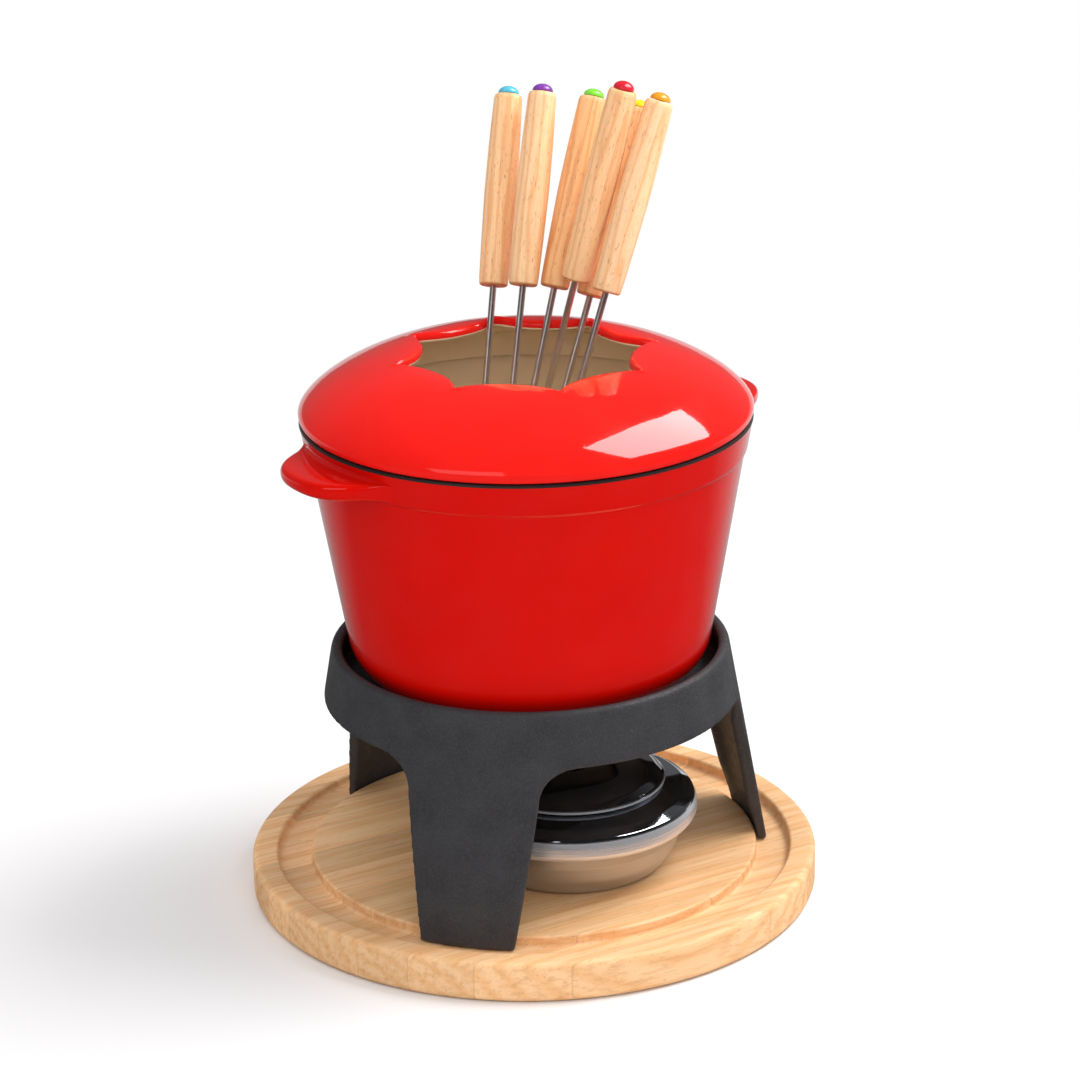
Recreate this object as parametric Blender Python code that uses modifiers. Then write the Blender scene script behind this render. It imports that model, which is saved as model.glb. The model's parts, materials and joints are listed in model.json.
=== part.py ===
"""Fondue pot set: wooden board, cast stand, enamelled pot with a scalloped splash ring,
spirit burner and six long forks. Metres, +Z up, origin in the middle of the board's underside."""

import math

import bmesh
import bpy
from mathutils import Matrix, Vector

# ---- driving dimensions (metres, degrees where the name says so) ----
GAP = 0.0003

BOARD_RADIUS = 0.127
BOARD_THICKNESS = 0.018
BOARD_EDGE = 0.0025
GROOVE_INNER = 0.1004
GROOVE_OUTER = 0.1155
GROOVE_FLOOR = 0.0130
GROOVE_EDGE = 0.0010

STAND_FOOT_Z = GROOVE_FLOOR + GAP
STAND_RING_BOTTOM = 0.0905
STAND_RING_TOP = 0.1155
STAND_RING_RADIUS = 0.0924
STAND_SLOPE = 0.176
STAND_PLATE = 0.0042
STAND_FLANGE = 0.0068
LEG_HEADINGS_DEG = (270.0, 30.0, 150.0)
LEG_FOOT_HALF_DEG = 11.5
LEG_TOP_HALF_DEG = 18.0
LEG_FILLET_HALF_DEG = 28.0
LEG_FILLET_Z = 0.076
LEG_FLANGE_START_Z = 0.021
LEG_FLANGE_FULL_Z = 0.032
LEDGE_HOLE_RADIUS = 0.046
LEDGE_THICKNESS = 0.0048

POT_BASE_Z = 0.0985
POT_RIM_Z = 0.2205
POT_WALL = 0.0042
POT_FLOOR = 0.0050
POT_WALL_RADIUS = 0.0817
POT_WALL_RADIUS_Z = 0.1275
POT_SLOPE = 0.171
POT_CORNER = 0.0265
COLLAR_Z = 0.2070
COLLAR_STEP = 0.0009
HANDLE_HEADINGS_DEG = (50.0, 230.0)
HANDLE_TIP_RADIUS = 0.1180
HANDLE_HALF_DEG = 22.0
HANDLE_TOP_Z = 0.2150
HANDLE_THICKNESS = 0.0075
HANDLE_ROOT_RADIUS = 0.0945
HANDLE_EDGE = 0.0020

LID_RADIUS = 0.0987
LID_WIDEST_Z = 0.2240
LID_CROWN = 0.0240
LID_CROWN_RADIUS = 0.052
LID_DOME_SHAPE = 1.45
LID_SEAT_RADIUS = 0.0970
LID_WALL = 0.0042
LID_LIP_RADIUS = 0.0912
LID_LIP_DEPTH = 0.0015
NOTCHES = 8
NOTCH_RADIUS = 0.0560
LOBE_RADIUS = 0.0453
NOTCH_HEADING_DEG = 30.5
LOBE_SHAPE = 2.5

BURNER_X, BURNER_Y = 0.0218, -0.0144
BURNER_BASE_Z = BOARD_THICKNESS + GAP
BURNER_SEAM_Z = 0.0400
BURNER_RADIUS = 0.0560
BOWL_RADIUS = 0.0495
SHEET = 0.0009
MOUTH_RADIUS = 0.0320
CUP_RADIUS = 0.0340
CUP_TOP_Z = 0.0520
WADDING_TOP_Z = 0.0480
GAUZE_Z = 0.0490
GAUZE_THICKNESS = 0.0006
CAP_RADIUS = 0.0420
CAP_BASE_Z = 0.0566
CAP_TOP_Z = 0.0685
KNOB_TOP_Z = 0.0790

HANDLE_LENGTH = 0.086
GRIP_RADIUS = 0.0073
GRIP_END_RADIUS = 0.0063
ROD_RADIUS = 0.0015
ROD_LENGTH = 0.162
SOCKET_DEPTH = 0.020
BEAD_RADIUS = 0.0040
BEAD_RISE = 0.0030
BEAD_STEM_RADIUS = 0.0020
BEAD_SEAT_DEPTH = 0.006
PRONG_LENGTH = 0.024
PRONG_SPREAD = 0.0017
PRONG_RADIUS = 0.0008
PRONG_TURN_DEG = 60.0
CROSSING_Z = 0.243
# Each fork: colour of its bead, where its rod passes the opening (radius, heading),
# how far it leans, the heading it leans towards, and the rod's run from there to the grip.
FORKS = (
    ("cyan", (0.12, 0.55, 0.72), 0.0477, 125.4, 24.2, 92.9, 0.0211),
    ("purple", (0.28, 0.08, 0.42), 0.0357, 111.4, 22.5, 88.4, 0.0236),
    ("green", (0.25, 0.75, 0.07), 0.0413, 94.2, 23.7, 73.2, 0.0214),
    ("red", (0.72, 0.02, 0.04), 0.0395, 82.7, 15.6, 34.2, 0.0267),
    ("yellow", (0.90, 0.78, 0.02), 0.0501, 77.0, 25.6, 66.2, 0.0167),
    ("orange", (0.80, 0.33, 0.02), 0.0365, 54.4, 21.8, 55.5, 0.0244),
)

LARGE_STEPS = 56
MEDIUM_STEPS = 36
SMALL_STEPS = 14


def heading(degrees):
    """Unit vector in the level plane."""
    angle = math.radians(degrees)
    return Vector((math.cos(angle), math.sin(angle), 0.0))


def arc(centre_r, centre_z, radius, start_deg, end_deg, count):
    """Points (r, z) of a round stretch of a profile."""
    points = []
    for i in range(count + 1):
        angle = math.radians(start_deg + (end_deg - start_deg) * i / count)
        points.append((centre_r + radius * math.cos(angle), centre_z + radius * math.sin(angle)))
    return points


def clear_scene():
    for old in list(bpy.data.objects):
        bpy.data.objects.remove(old)


def new_collection(name):
    collection = bpy.data.collections.new(name)
    bpy.context.scene.collection.children.link(collection)
    return collection


def material(name, colour, roughness, metallic=0.0):
    made = bpy.data.materials.new(name)
    made.use_nodes = True
    shader = made.node_tree.nodes["Principled BSDF"]
    shader.inputs["Base Color"].default_value = (*colour, 1.0)
    shader.inputs["Roughness"].default_value = roughness
    shader.inputs["Metallic"].default_value = metallic
    return made


def add_object(name, mesh, look=None, parent=None, place=(0, 0, 0)):
    """A named part; one without a look is a cutter or a joined piece."""
    made = bpy.data.objects.new(name, mesh)
    made.location = place
    if look is None:
        made.hide_render = True
        made.display_type = "WIRE"
        helpers.objects.link(made)
    else:
        mesh.materials.append(look)
        parts.objects.link(made)
    if parent is not None:
        made.parent = parent
    return made


def turned(name, profile, steps, look=None, parent=None, place=(0, 0, 0), loop=False):
    """A solid of revolution from (r, z) points that run top to bottom down the outer side."""
    mesh = bpy.data.meshes.new(name)
    edges = [(i, i + 1) for i in range(len(profile) - 1)]
    if loop:
        edges.append((len(profile) - 1, 0))
    mesh.from_pydata([(r, 0.0, z) for r, z in profile], edges, [])
    made = add_object(name, mesh, look, parent, place)
    screw = made.modifiers.new("turn", "SCREW")
    screw.axis = "Z"
    screw.angle = math.tau
    screw.steps = steps
    screw.render_steps = steps
    screw.use_smooth_shade = True
    screw.use_merge_vertices = True
    screw.merge_threshold = 0.00001
    return made


def outline_solid(name, points, z_low, thickness):
    """A flat closed outline (x, y) made a slab between z_low and z_low + thickness."""
    curve = bpy.data.curves.new(name, "CURVE")
    curve.dimensions = "2D"
    curve.fill_mode = "BOTH"
    curve.extrude = thickness / 2
    spline = curve.splines.new("POLY")
    spline.points.add(len(points) - 1)
    for point, (x, y) in zip(spline.points, points):
        point.co = (x, y, 0.0, 1.0)
    spline.use_cyclic_u = True
    flat = bpy.data.objects.new(name + "_outline", curve)
    helpers.objects.link(flat)
    flat.location.z = z_low + thickness / 2
    bpy.context.view_layer.update()
    depsgraph = bpy.context.evaluated_depsgraph_get()
    mesh = bpy.data.meshes.new_from_object(flat.evaluated_get(depsgraph))
    shaped = bmesh.new()
    shaped.from_mesh(mesh)
    bmesh.ops.remove_doubles(shaped, verts=shaped.verts, dist=0.00001)
    shaped.to_mesh(mesh)
    shaped.free()
    made = add_object(name, mesh)
    made.matrix_world = flat.matrix_world
    bpy.data.objects.remove(flat)
    return made


def boolean(target, other, operation):
    step = target.modifiers.new(operation.lower() + "_" + other.name, "BOOLEAN")
    step.operation = operation
    step.solver = "EXACT"
    step.object = other


def bevel(target, width, segments=2, limit_deg=40.0):
    step = target.modifiers.new("rounded_edges", "BEVEL")
    step.width = width
    step.segments = segments
    step.limit_method = "ANGLE"
    step.angle_limit = math.radians(limit_deg)


def shade(target, limit_deg=35.0):
    target.data.shade_smooth()
    target.data.set_sharp_from_angle(angle=math.radians(limit_deg))


# ---- board ----
def make_board():
    """Round serving board with a groove in which the stand's feet stand."""
    top = BOARD_THICKNESS
    edge = BOARD_EDGE
    profile = [(0.0, top), (GROOVE_INNER - GROOVE_EDGE, top)]
    profile += [(GROOVE_INNER, top - GROOVE_EDGE), (GROOVE_INNER, GROOVE_FLOOR)]
    profile += [(GROOVE_OUTER - GROOVE_EDGE, GROOVE_FLOOR), (GROOVE_OUTER, GROOVE_FLOOR + GROOVE_EDGE)]
    profile += [(GROOVE_OUTER, top - GROOVE_EDGE), (GROOVE_OUTER + GROOVE_EDGE, top)]
    profile += arc(BOARD_RADIUS - edge, top - edge, edge, 90, 0, 2)
    profile += arc(BOARD_RADIUS - edge, edge, edge, 0, -90, 2)
    profile.append((0.0, 0.0))
    wood = material("oiled_rubberwood", (0.80, 0.55, 0.30), 0.5)
    turned("board", profile, LARGE_STEPS, wood)


# ---- stand ----
def stand_radius(z):
    return STAND_RING_RADIUS - STAND_SLOPE * (z - STAND_RING_BOTTOM)


def stand_low_edge(offset_deg):
    """Height of the casting's lower edge at an angle from a leg's middle."""
    offset = abs(offset_deg)
    if offset <= LEG_FOOT_HALF_DEG:
        return STAND_FOOT_Z - 0.0015
    if offset <= LEG_TOP_HALF_DEG:
        share = (offset - LEG_FOOT_HALF_DEG) / (LEG_TOP_HALF_DEG - LEG_FOOT_HALF_DEG)
        return STAND_FOOT_Z + share * (LEG_FILLET_Z - STAND_FOOT_Z)
    if offset < LEG_FILLET_HALF_DEG:
        share = (LEG_FILLET_HALF_DEG - offset) / (LEG_FILLET_HALF_DEG - LEG_TOP_HALF_DEG)
        return STAND_RING_BOTTOM - (STAND_RING_BOTTOM - LEG_FILLET_Z) * (1 - math.sqrt(1 - share**2))
    return STAND_RING_BOTTOM


def leg_column_offsets():
    """Angles from a leg's middle at which the casting's outer face gets a column of points."""
    half = [0.0, 5.0, 9.6, 11.5, 12.0, 14.0, 16.0, 17.9, 18.3, 19.5, 21.5, 24.5, 28.0, 36.0, 44.0, 52.0]
    return [-a for a in reversed(half[1:])] + half + [60.0]


def flange_weight(offset_deg, z):
    """1 along a leg's two edges, where the casting is thickest, and 0 on its plain plate."""
    offset = abs(offset_deg)
    if offset < 9.6 or offset > 19.5:
        return 0.0
    share = (z - LEG_FLANGE_START_Z) / (LEG_FLANGE_FULL_Z - LEG_FLANGE_START_Z)
    fade = (STAND_RING_BOTTOM - z) / (STAND_RING_BOTTOM - LEG_FILLET_Z)
    return max(0.0, min(1.0, share, fade))


def stand_shell():
    """Outer face of ring and legs as one sheet, thickened inwards."""
    rows = 8
    columns = [(leg, offset) for leg in LEG_HEADINGS_DEG for offset in leg_column_offsets()]
    columns.sort(key=lambda pair: (pair[0] + pair[1]) % 360.0)
    vertices, weights = [], []
    for leg, offset in columns:
        low = stand_low_edge(offset)
        for row in range(rows + 1):
            z = low + (STAND_RING_TOP - low) * row / rows
            vertices.append(heading(leg + offset) * stand_radius(z) + Vector((0, 0, z)))
            weights.append(flange_weight(offset, z))
    faces = []
    for i in range(len(columns)):
        a, b = i * (rows + 1), ((i + 1) % len(columns)) * (rows + 1)
        faces += [(a + row, b + row, b + row + 1, a + row + 1) for row in range(rows)]
    mesh = bpy.data.meshes.new("stand")
    mesh.from_pydata(vertices, [], faces)
    return mesh, weights


def make_stand():
    """One casting: a tapered ring on three legs, with a ledge inside that carries the pot."""
    mesh, weights = stand_shell()
    iron = material("black_cast_iron", (0.05, 0.048, 0.05), 0.6)
    stand = add_object("stand", mesh, iron)
    group = stand.vertex_groups.new(name="leg_flanges")
    for index, weight in enumerate(weights):
        group.add([index], weight, "REPLACE")
    wall = stand.modifiers.new("wall", "SOLIDIFY")
    wall.thickness = STAND_FLANGE
    wall.thickness_vertex_group = STAND_PLATE / STAND_FLANGE
    wall.vertex_group = group.name
    wall.offset = -1.0
    wall.use_even_offset = True

    floor_box = bpy.data.meshes.new("foot_trim")
    box = bmesh.new()
    bmesh.ops.create_cube(box, size=1.0)
    box.to_mesh(floor_box)
    box.free()
    floor_box.transform(Matrix.Diagonal((0.3, 0.3, 0.02, 1.0)))
    trim = add_object("foot_trim", floor_box, place=(0, 0, STAND_FOOT_Z - 0.01))
    boolean(stand, trim, "DIFFERENCE")

    top = POT_BASE_Z - GAP
    outer = stand_radius(top) - STAND_PLATE / 2
    ledge = [(LEDGE_HOLE_RADIUS, top), (outer, top)]
    ledge += [(outer, top - LEDGE_THICKNESS), (LEDGE_HOLE_RADIUS, top - LEDGE_THICKNESS)]
    boolean(stand, turned("stand_ledge", ledge, LARGE_STEPS, loop=True), "UNION")
    shade(stand)


# ---- pot ----
def pot_radius(z):
    return POT_WALL_RADIUS + POT_SLOPE * (z - POT_WALL_RADIUS_Z)


def pot_skin(inset, floor_z, corner):
    """The wall line from just above the rounded corner down to the axis, inset from the outside."""
    slope_deg = math.degrees(math.atan(POT_SLOPE))
    centre_z = floor_z + corner
    tangent_z = centre_z - corner * math.sin(math.radians(slope_deg))
    tangent_r = pot_radius(tangent_z) - inset
    centre_r = tangent_r - corner * math.cos(math.radians(slope_deg))
    points = arc(centre_r, centre_z, corner, -slope_deg, -90, 5)
    return points + [(0.0, floor_z)]


def handle_outline(heading_deg):
    """A tab with a broad round end that runs into the rim in two hollow curves."""
    steps = 20
    base = pot_radius(HANDLE_TOP_Z) - 0.0010
    points = []
    for i in range(steps + 1):
        offset = HANDLE_HALF_DEG * (2 * i / steps - 1)
        share = abs(offset / HANDLE_HALF_DEG) ** 1.5
        reach = 0.5 * (1 + math.cos(math.pi * share))
        radius = base + (HANDLE_TIP_RADIUS - base) * reach
        points.append(heading(heading_deg + offset) * radius)
    for i in range(6):
        offset = HANDLE_HALF_DEG * (1 - 2 * i / 5)
        points.append(heading(heading_deg + offset) * HANDLE_ROOT_RADIUS)
    return [(p.x, p.y) for p in points]


def make_pot():
    """Enamelled casting: tapered body, collar under the rim and two opposite tab handles."""
    rim_outer = pot_radius(POT_RIM_Z) + COLLAR_STEP
    rim_inner = rim_outer - POT_WALL - COLLAR_STEP
    profile = [(rim_inner + 0.0010, POT_RIM_Z), (rim_outer - 0.0010, POT_RIM_Z)]
    profile += [(rim_outer, POT_RIM_Z - 0.0010), (pot_radius(COLLAR_Z) + COLLAR_STEP, COLLAR_Z)]
    profile += [(pot_radius(COLLAR_Z - 0.001), COLLAR_Z - 0.001)]
    profile += pot_skin(0.0, POT_BASE_Z, POT_CORNER)
    inside = pot_skin(POT_WALL, POT_BASE_Z + POT_FLOOR, POT_CORNER - POT_WALL)
    profile += list(reversed(inside))
    profile.append((rim_inner, POT_RIM_Z - 0.0010))
    enamel = material("red_enamel", (0.72, 0.012, 0.008), 0.12)
    pot = turned("pot", profile, LARGE_STEPS, enamel, loop=True)
    for number, heading_deg in enumerate(HANDLE_HEADINGS_DEG, 1):
        low = HANDLE_TOP_Z - HANDLE_THICKNESS
        tab = outline_solid(f"pot_handle_{number}", handle_outline(heading_deg), low, HANDLE_THICKNESS)
        bevel(tab, HANDLE_EDGE)
        boolean(pot, tab, "UNION")


# ---- lid ----
def opening_radius(heading_deg):
    """Eight lobes that bulge inwards between eight sharp notches for the fork rods."""
    pitch = 360.0 / NOTCHES
    share = ((heading_deg - NOTCH_HEADING_DEG) % pitch) / pitch
    bulge = 1 - abs(2 * share - 1) ** LOBE_SHAPE
    return NOTCH_RADIUS - (NOTCH_RADIUS - LOBE_RADIUS) * bulge


def lid_height(radius, inset=0.0):
    """Crown of the splash ring, between a cone and an ellipse in shape, or its underside."""
    reach = max(0.0, (radius - LID_CROWN_RADIUS) / (LID_RADIUS - inset - LID_CROWN_RADIUS))
    share = max(0.0, 1 - reach**LID_DOME_SHAPE) ** (1 / LID_DOME_SHAPE)
    return LID_WIDEST_Z + (LID_CROWN - inset) * share


def make_lid():
    """Domed splash ring that sits on the pot's rim, with a scalloped opening."""
    seat = POT_RIM_Z + GAP
    inner_cut = LOBE_RADIUS - 0.004
    shares = (0.0, 0.2, 0.4, 0.58, 0.73, 0.85, 0.93, 0.98)
    outer = [LID_CROWN_RADIUS + (LID_RADIUS - LID_CROWN_RADIUS) * s for s in shares]
    profile = [(inner_cut, lid_height(LID_CROWN_RADIUS))] + [(r, lid_height(r)) for r in outer]
    profile += [(LID_RADIUS, LID_WIDEST_Z), (LID_RADIUS - 0.0004, LID_WIDEST_Z - 0.0018)]
    profile += [(LID_SEAT_RADIUS, seat), (LID_LIP_RADIUS, seat), (LID_LIP_RADIUS, seat - LID_LIP_DEPTH)]
    profile.append((LID_LIP_RADIUS - 0.0015, seat - LID_LIP_DEPTH))
    wide = LID_RADIUS - LID_WALL
    for s in (0.90, 0.78, 0.6, 0.35, 0.0):
        radius = LID_CROWN_RADIUS + (wide - LID_CROWN_RADIUS) * s
        profile.append((radius, lid_height(radius, LID_WALL)))
    profile.append((inner_cut, lid_height(LID_CROWN_RADIUS, LID_WALL)))
    enamel = material("red_enamel_lid", (0.80, 0.018, 0.012), 0.12)
    lid = turned("lid", profile, LARGE_STEPS, enamel, loop=True)
    count = NOTCHES * 12
    angles = [NOTCH_HEADING_DEG + 360.0 * i / count for i in range(count)]
    outline = [tuple((heading(a) * opening_radius(a)).xy) for a in angles]
    boolean(lid, outline_solid("lid_opening", outline, LID_WIDEST_Z - 0.01, 0.05), "DIFFERENCE")


# ---- burner ----
def make_burner():
    """Spirit burner: bowl, shoulder, fuel cup with wadding and gauze, and the snuffer cap."""
    place = (BURNER_X, BURNER_Y, 0.0)
    base = BURNER_BASE_Z
    seam = BURNER_SEAM_Z
    wide = BURNER_RADIUS
    brushed = material("brushed_steel", (0.62, 0.58, 0.55), 0.32, 1.0)
    polished = material("polished_steel", (0.70, 0.70, 0.71), 0.08, 1.0)
    tin = material("tinned_cup", (0.75, 0.74, 0.72), 0.3, 1.0)
    wool = material("mineral_wool", (0.85, 0.83, 0.78), 0.95)
    mesh_steel = material("gauze_steel", (0.5, 0.49, 0.48), 0.4, 1.0)

    rim = BOWL_RADIUS
    outside = [(rim, seam), (rim - 0.0005, seam - 0.0060), (rim - 0.0030, seam - 0.0135)]
    outside += [(rim - 0.0070, base + 0.0022), (rim - 0.0100, base), (0.0, base)]
    inside = [(0.0, base + SHEET), (rim - 0.0104, base + SHEET), (rim - 0.0077, base + 0.0030)]
    inside += [(rim - 0.0038, seam - 0.0130), (rim - 0.0014, seam - 0.0058), (rim - SHEET, seam)]
    turned("burner_bowl", outside + inside, MEDIUM_STEPS, brushed, place=place, loop=True)

    low = seam + GAP
    lap = rim - 0.0015
    outside = [(MOUTH_RADIUS, 0.0562), (0.0400, 0.0562), (0.0440, 0.0555), (0.0500, 0.0530)]
    outside += [(wide - 0.0020, 0.0505), (wide - 0.0004, 0.0485), (wide, 0.0460), (wide, 0.0430)]
    outside += [(wide - 0.0010, low + 0.0009), (wide - 0.0030, low), (lap, low)]
    inside = [(lap, low + SHEET), (wide - 0.0033, low + SHEET), (wide - 0.0017, low + 0.0015)]
    inside += [(wide - SHEET, 0.0433), (wide - SHEET, 0.0458), (wide - 0.0013, 0.0480)]
    inside += [(wide - 0.0027, 0.0498), (0.0495, 0.0521), (0.0436, 0.0546)]
    inside += [(0.0398, 0.0553), (MOUTH_RADIUS, 0.0553)]
    turned("burner_shoulder", outside + inside, MEDIUM_STEPS, polished, place=place, loop=True)

    cup_base = base + SHEET + GAP
    bore = CUP_RADIUS - SHEET
    outside = [(CUP_RADIUS, CUP_TOP_Z), (CUP_RADIUS, cup_base), (0.0, cup_base)]
    inside = [(0.0, cup_base + SHEET), (bore, cup_base + SHEET), (bore, CUP_TOP_Z)]
    turned("fuel_cup", outside + inside, MEDIUM_STEPS, tin, place=place, loop=True)
    fill = bore - GAP
    floor = cup_base + SHEET + GAP
    wadding = [(0.0, WADDING_TOP_Z), (fill, WADDING_TOP_Z), (fill, floor), (0.0, floor)]
    turned("fuel_wadding", wadding, MEDIUM_STEPS, wool, place=place)
    edge = fill - 0.0010
    gauze = [(0.0, GAUZE_Z + GAUZE_THICKNESS), (edge, GAUZE_Z)]
    gauze += [(edge, GAUZE_Z - GAUZE_THICKNESS), (0.0, GAUZE_Z)]
    turned("wick_gauze", gauze, MEDIUM_STEPS, mesh_steel, place=place)

    top = CAP_TOP_Z
    lip = CAP_RADIUS
    outside = [(0.0, top), (0.0200, top - 0.0006), (0.0310, top - 0.0030), (0.0375, top - 0.0063)]
    outside += [(lip - 0.0012, CAP_BASE_Z + 0.0018), (lip, CAP_BASE_Z + 0.0010), (lip, CAP_BASE_Z)]
    inside = [(lip - 0.0016, CAP_BASE_Z), (lip - 0.0022, CAP_BASE_Z + 0.0010), (0.0368, top - 0.0073)]
    inside += [(0.0304, top - 0.0041), (0.0196, top - 0.0016), (0.0, top - 0.0010)]
    turned("snuffer_cap", outside + inside, MEDIUM_STEPS, polished, place=place)

    z = CAP_TOP_Z + GAP
    knob = [(0.0, KNOB_TOP_Z)] + arc(0.0030, KNOB_TOP_Z - 0.0040, 0.0040, 70, -40, 3)
    knob += [(0.0035, z + 0.0020), (0.0050, z), (0.0, z)]
    turned("snuffer_knob", knob, SMALL_STEPS, polished, place=place)


# ---- forks ----
def fork_axis(lean_deg, heading_deg):
    lean = math.radians(lean_deg)
    return heading(heading_deg) * math.sin(lean) + Vector((0, 0, math.cos(lean)))


def fork_empty(number, radius, at_deg, lean_deg, lean_to_deg, run):
    """Empty at the bottom of the grip with its Z along the fork, which is the slide axis."""
    axis = fork_axis(lean_deg, lean_to_deg)
    crossing = heading(at_deg) * radius + Vector((0, 0, CROSSING_Z))
    holder = bpy.data.objects.new(f"fork_{number}_axis", None)
    parts.objects.link(holder)
    turn = axis.to_track_quat("Z", "Y").to_matrix().to_4x4()
    holder.matrix_world = Matrix.Translation(crossing + axis * run) @ turn
    return holder


def grip_profile():
    """Turned grip with a socket for the rod below and a seat for the bead on top."""
    top = HANDLE_LENGTH
    wide = GRIP_RADIUS
    end = GRIP_END_RADIUS
    seat = BEAD_STEM_RADIUS + GAP
    profile = [(0.0, top - BEAD_SEAT_DEPTH), (seat, top - BEAD_SEAT_DEPTH), (seat, top)]
    profile += [(end - 0.0012, top), (end, top - 0.0022), (wide - 0.0003, top * 0.72)]
    profile += [(wide, top * 0.50), (wide - 0.0004, top * 0.24), (end, 0.0012), (end - 0.0010, 0.0)]
    profile += [(ROD_RADIUS + GAP, 0.0), (ROD_RADIUS + GAP, SOCKET_DEPTH), (0.0, SOCKET_DEPTH)]
    return profile


def bead_profile():
    top = HANDLE_LENGTH
    stem = BEAD_STEM_RADIUS
    low = top - BEAD_SEAT_DEPTH + 0.0005
    profile = [(0.0, top + BEAD_RISE)] + arc(0.0018, top + 0.0008, 0.0022, 75, 0, 3)
    return profile + [(BEAD_RADIUS, top + GAP), (stem, top + GAP), (stem, low), (0.0, low)]


def prong_curve(side):
    """One prong: leaves the rod, spreads sideways and ends in the tip."""
    tip = -ROD_LENGTH
    root = tip + PRONG_LENGTH
    out = heading(PRONG_TURN_DEG) * side
    runs = ((0.0, root + 0.004), (0.4, root - 0.001), (1.0, root - 0.006), (1.0, tip))
    return [tuple(out * share + Vector((0, 0, z))) for share, z in runs]


def wire_mesh(name, points, radius, resolution):
    """A round wire through the points, as a closed mesh."""
    curve = bpy.data.curves.new(name, "CURVE")
    curve.dimensions = "3D"
    curve.bevel_depth = radius
    curve.bevel_resolution = resolution
    curve.use_fill_caps = True
    spline = curve.splines.new("POLY")
    spline.points.add(len(points) - 1)
    for point, place in zip(spline.points, points):
        point.co = (*place, 1.0)
    wire = bpy.data.objects.new(name + "_wire", curve)
    helpers.objects.link(wire)
    bpy.context.view_layer.update()
    depsgraph = bpy.context.evaluated_depsgraph_get()
    mesh = bpy.data.meshes.new_from_object(wire.evaluated_get(depsgraph))
    bpy.data.objects.remove(wire)
    shaped = bmesh.new()
    shaped.from_mesh(mesh)
    bmesh.ops.remove_doubles(shaped, verts=shaped.verts, dist=0.00001)
    shaped.to_mesh(mesh)
    shaped.free()
    return mesh


def make_fork(number, colour_name, colour, *placing):
    holder = fork_empty(number, *placing)
    beech = material(f"grip_wood_{number}", (0.86, 0.55, 0.32), 0.5)
    steel = material(f"fork_steel_{number}", (0.72, 0.71, 0.70), 0.2, 1.0)
    gloss = material(f"bead_{colour_name}", colour, 0.15)
    turned(f"fork_{number}_handle", grip_profile(), SMALL_STEPS, beech, parent=holder)
    turned(f"fork_{number}_bead", bead_profile(), SMALL_STEPS, gloss, parent=holder)
    shank = [(0.0, 0.0, SOCKET_DEPTH - GAP), (0.0, 0.0, -ROD_LENGTH + PRONG_LENGTH)]
    rod = add_object(f"fork_{number}_rod", wire_mesh("shank", shank, ROD_RADIUS, 2), steel, parent=holder)
    for side in (-PRONG_SPREAD, PRONG_SPREAD):
        mesh = wire_mesh("prong", prong_curve(side), PRONG_RADIUS, 1)
        prong = add_object(f"fork_{number}_prong_{'left' if side < 0 else 'right'}", mesh, parent=holder)
        boolean(rod, prong, "UNION")
    shade(rod)


clear_scene()
parts = new_collection("fondue_pot_set")
helpers = new_collection("cutters")
make_board()
make_stand()
make_pot()
make_lid()
make_burner()
for fork_number, fork in enumerate(FORKS, 1):
    make_fork(fork_number, *fork)
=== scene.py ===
"""Looks of the fondue pot set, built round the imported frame. Metres, +Z up, in the frame's axes."""

import json
import math

import bmesh
import bpy
from mathutils import Matrix, Vector

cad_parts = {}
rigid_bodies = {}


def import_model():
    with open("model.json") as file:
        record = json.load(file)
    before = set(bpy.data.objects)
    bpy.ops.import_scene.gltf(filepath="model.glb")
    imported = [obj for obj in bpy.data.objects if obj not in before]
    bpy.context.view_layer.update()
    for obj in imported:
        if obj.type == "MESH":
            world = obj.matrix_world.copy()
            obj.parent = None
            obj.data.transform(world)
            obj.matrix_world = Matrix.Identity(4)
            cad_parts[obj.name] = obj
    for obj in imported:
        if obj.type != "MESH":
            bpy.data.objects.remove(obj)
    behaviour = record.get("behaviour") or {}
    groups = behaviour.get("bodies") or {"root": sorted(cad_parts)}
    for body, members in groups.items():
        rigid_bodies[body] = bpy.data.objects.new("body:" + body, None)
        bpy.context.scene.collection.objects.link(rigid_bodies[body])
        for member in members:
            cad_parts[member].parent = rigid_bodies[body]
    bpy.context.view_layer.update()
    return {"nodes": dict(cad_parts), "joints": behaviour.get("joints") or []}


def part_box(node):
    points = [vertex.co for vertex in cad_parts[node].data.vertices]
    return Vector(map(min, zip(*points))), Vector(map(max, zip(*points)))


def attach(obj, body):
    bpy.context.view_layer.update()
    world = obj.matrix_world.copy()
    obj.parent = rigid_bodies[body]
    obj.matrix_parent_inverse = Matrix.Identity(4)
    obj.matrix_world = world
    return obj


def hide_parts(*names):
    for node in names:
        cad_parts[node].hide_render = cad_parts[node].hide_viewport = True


# ---- sizes of the fine shapes (metres, degrees where the name says so) ----
BOARD_COLUMNS = 240
POT_COLUMNS = 360
NOTCH_COLUMNS = 48
BURNER_COLUMNS = 192
SMALL_COLUMNS = 144
KNOB_COLUMNS = 64
GRIP_COLUMNS = 48
BEAD_COLUMNS = 40
PARTING = 0.0003  # gap between pieces that rest on each other

BOARD_FILLET = 0.0028
GROOVE_FLOOR = 0.0130
GROOVE_INNER = 0.1004
GROOVE_OUTER = 0.1155
STAVE_WIDTH = 0.0223
STAVE_HEADING_DEG = 46.5

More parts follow.
